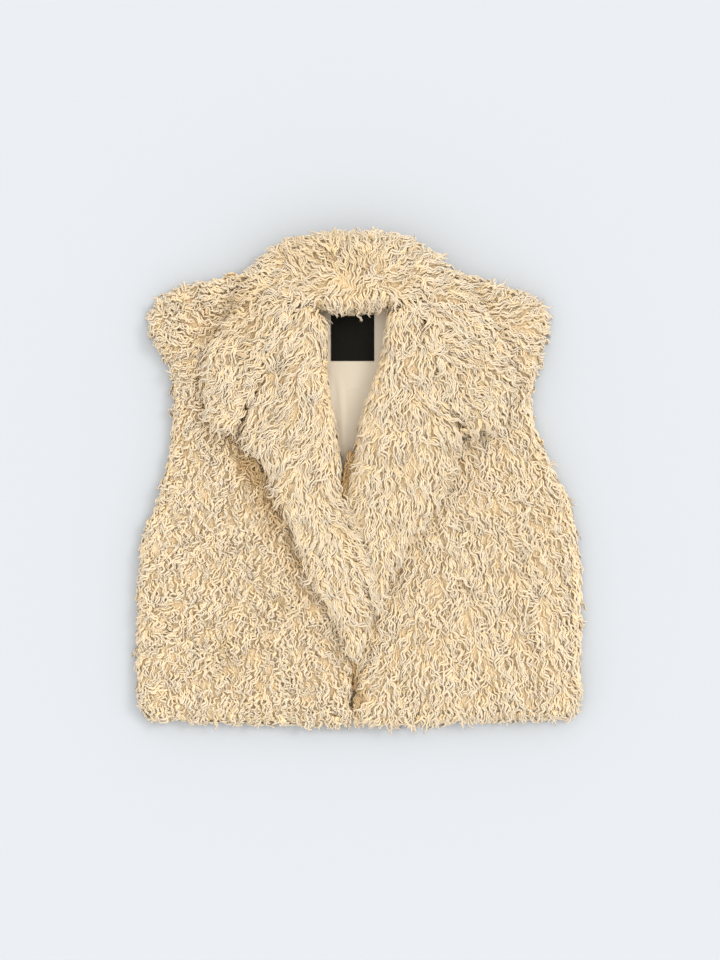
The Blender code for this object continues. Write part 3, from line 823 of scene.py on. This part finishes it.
def curl_mesh(name, node, rng, points, outward, tone, style):
    """One mesh of all the curls, each with its own tone in its map."""
    count, steps, _ = points.shape
    vertices, points = curl_vertices(rng, points, outward, style)
    per_curl = vertices.shape[1]
    faces, places = curl_pattern(steps)
    index = (faces[None] + (np.arange(count) * per_curl)[:, None, None]).reshape(-1)
    tone = GROOVE_TONE + (1 - GROOVE_TONE - TONE_WIDTH) * np.clip(tone, 0.0, 1.0)
    # Painted shade from the spots lowers each curl's tone
    tone *= 1 - painted_shade_at(node, points[:, steps // 2])
    coordinates = np.broadcast_to(places[None], (count,) + places.shape).copy()
    coordinates[..., 0] = coordinates[..., 0] * TONE_WIDTH + tone[:, None, None]
    data = bpy.data.meshes.new(name)
    data.vertices.add(count * per_curl)
    data.vertices.foreach_set("co", vertices.reshape(-1))
    data.loops.add(len(index))
    data.loops.foreach_set("vertex_index", index.astype(np.int32))
    total = len(index) // 3
    data.polygons.add(total)
    data.polygons.foreach_set("loop_start", (np.arange(total) * 3).astype(np.int32))
    layer = data.uv_layers.new(name=FUR_MAP)
    layer.data.foreach_set("uv", coordinates.reshape(-1).astype(np.float32))
    data.update(calc_edges=True)
    data.shade_smooth()
    data.materials.append(fur)
    piece = bpy.data.objects.new(name, data)
    scene.collection.objects.link(piece)
    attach(piece, "root")
    print(name, count, "curls,", total, "triangles")


# %% [markdown]
# ## The pile of each piece
# The right front has the tightest curls and the lapels the longest waves. The back and the collar's
# fall are seen only along their edges, so their curls are fewer and plainer, and grow from their lower
# sides and edges. A pile with more triangles than one object should have is split across its length.

# %% Curls for each piece
STYLES = {
    "right_front": dict(spacing=6.4 * MM, strands=3, steps=11, length=21 * MM, depth=3.0 * MM,
                        lift=1.2 * MM, wave=10 * MM, swing=2.2 * MM, twist=0.50, width=3.1 * MM,
                        stray=0.28, flare=0.30, clump=0.35, spread=0.34, tuft=3.2 * MM, rim=0.10),
    "left_front": dict(spacing=6.4 * MM, strands=3, steps=11, length=25 * MM, depth=3.0 * MM,
                       lift=1.2 * MM, wave=12.5 * MM, swing=1.9 * MM, twist=0.35, width=2.9 * MM,
                       stray=0.22, flare=0.30, clump=0.35, spread=0.34, tuft=3.2 * MM, rim=0.10),
    "right_lapel": dict(spacing=6.4 * MM, strands=4, steps=11, length=26 * MM, depth=3 * MM,
                        lift=1.0 * MM, wave=13 * MM, swing=1.5 * MM, twist=0.25, width=2.5 * MM,
                        stray=0.26, flare=0.30, clump=0.55, spread=0.34, tuft=3.0 * MM, rim=0.0),
    "left_lapel": dict(spacing=6.4 * MM, strands=4, steps=11, length=26 * MM, depth=3 * MM,
                       lift=1.0 * MM, wave=13 * MM, swing=1.5 * MM, twist=0.25, width=2.5 * MM,
                       stray=0.28, flare=0.30, clump=0.55, spread=0.34, tuft=3.0 * MM, rim=0.0),
    "collar": dict(spacing=6.4 * MM, strands=4, steps=11, length=27 * MM, depth=3 * MM,
                   lift=1.6 * MM, wave=13 * MM, swing=2.0 * MM, twist=0.3, width=2.6 * MM,
                   stray=0.34, flare=0.08, clump=0.55, spread=0.30, tuft=3.2 * MM, rim=0.50),
    "back_panel": dict(spacing=8.0 * MM, strands=3, steps=8, length=20 * MM, depth=3 * MM,
                       lift=0.8 * MM, wave=11 * MM, swing=1.8 * MM, twist=0.4, width=3.6 * MM,
                       stray=0.4, flare=0.5, clump=0.3, spread=0.4, tuft=0.0, rim=0.2),
    "collar_fall": dict(spacing=7.0 * MM, strands=3, steps=8, length=17 * MM, depth=4 * MM,
                        lift=0.6 * MM, wave=11 * MM, swing=1.8 * MM, twist=0.4, width=3.6 * MM,
                        stray=0.4, flare=0.1, clump=0.3, spread=0.4, tuft=0.0, rim=0.5),
}

# %% Growing them all
MOST_TRIANGLES = 190_000
LOWER_PIECES = ("back_panel", "collar_fall")
UPPER_LIMIT, LOWER_LIMIT = -0.6, 0.5


def upper_side(outward):
    return outward[:, 2] > UPPER_LIMIT


def lower_side(outward):
    return outward[:, 2] < LOWER_LIMIT


for seed, (node, style) in enumerate(STYLES.items()):
    rng = np.random.default_rng(100 + seed)
    keep = lower_side if node in LOWER_PIECES else upper_side
    roots, outward = spread_roots(node, style["spacing"], rng, keep)
    points, outward, tone = grow(node, rng, roots, outward, style)
    per_curl = 2 * SIDES * (style["steps"] - 2) + SIDES + 1
    parts = ceil(len(points) * per_curl / MOST_TRIANGLES)
    order = np.argsort(points[:, 0, 1], kind="stable")
    for part, rows in enumerate(np.array_split(order, parts)):
        name = node + "_pile" + ("_" + "abcd"[part] if parts > 1 else "")
        curl_mesh(name, node, rng, points[rows], outward[rows], tone[rows], style)

# %% [markdown]
# ## Locks over the joins
# Where the lapels cross, in the throat above that, in the slit at the hem and along both gorges, where
# the collar meets the lapels, the pile of one side falls over the other and closes the gap. Behind the
# neck, long locks hang from under the collar to the floor. All these grow along short listed lines,
# each point in millimetres, with the direction that the roots face.

# %% Lines of the locks that bridge a gap
BRIDGES = {
    "crossing": dict(line=((-17, -26, 42), (-5, -55, 44), (3, -78, 46), (13, -113, 46), (21, -140, 44)),
                     faces=UP, count=66, jitter=4, length=22 * MM),
    "throat": dict(line=((-9, 26, 27), (-13, 4, 31), (-14, -22, 36)), faces=UP, count=18, jitter=2,
                   length=17 * MM),
    "right_gorge": dict(line=((-68, 207, 48), (-90, 176, 49), (-107, 143, 49), (-138, 72, 48)),
                        faces=UP, count=44, jitter=8, stray=0.5, length=22 * MM),
    "left_gorge": dict(line=((52, 211, 48), (81, 178, 49), (98, 130, 49), (115, 74, 48)), faces=UP,
                       count=64, jitter=8, stray=0.5, length=22 * MM),
    "slit": dict(line=((-7, -202, 22), (-4, -226, 20), (0, -250, 20), (-2, -277, 19)), faces=UP,
                 count=26, jitter=2, length=15 * MM),
    "right_neck": dict(line=((-40, 269, 16), (-67, 263, 17), (-86, 255, 18), (-105, 241, 20),
                             (-117, 229, 22)),
                       faces=(-0.45, 0.85, 0.1), count=34, jitter=2, length=34 * MM),
    "left_neck": dict(line=((37, 268, 16), (60, 261, 17), (78, 252, 18), (97, 237, 20), (111, 223, 22)),
                      faces=(0.45, 0.85, 0.1), count=34, jitter=2, length=34 * MM),
}


# %% Growing them along their lines
BRIDGE_STYLE = dict(STYLES["right_lapel"], depth=5 * MM, lift=0.4 * MM, clump=0.2)


def line_places(line, count, jitter, rng):
    """Places spread along a line through the given points, each a little off it."""
    stops = np.array(line, dtype=float)
    lengths = np.linalg.norm(np.diff(stops, axis=0), axis=1)
    marks = np.concatenate([[0.0], np.cumsum(lengths)])
    wanted = np.linspace(0.0, marks[-1], count)
    places = np.stack([np.interp(wanted, marks, stops[:, axis]) for axis in range(3)], axis=1)
    places[:, :2] += jitter * rng.uniform(-1, 1, (count, 2))
    return places * MM


for seed, (node, bridge) in enumerate(BRIDGES.items()):
    rng = np.random.default_rng(300 + seed)
    style = dict(BRIDGE_STYLE, **{key: bridge[key] for key in ("length", "stray") if key in bridge})
    roots = line_places(bridge["line"], bridge["count"], bridge["jitter"], rng)
    faces = np.array(bridge["faces"])
    outward = np.tile(faces / np.linalg.norm(faces), (len(roots), 1))
    points, outward, tone = grow(node, rng, roots, outward, style)
    curl_mesh(node + "_pile", node, rng, points, outward, tone, style)

# %% Size of the visual model beside the frame, then the end
made = [piece for piece in scene.objects if piece.type == "MESH" and piece != floor]
print("triangles in all:", sum(len(face.vertices) - 2 for piece in made for face in piece.data.polygons))
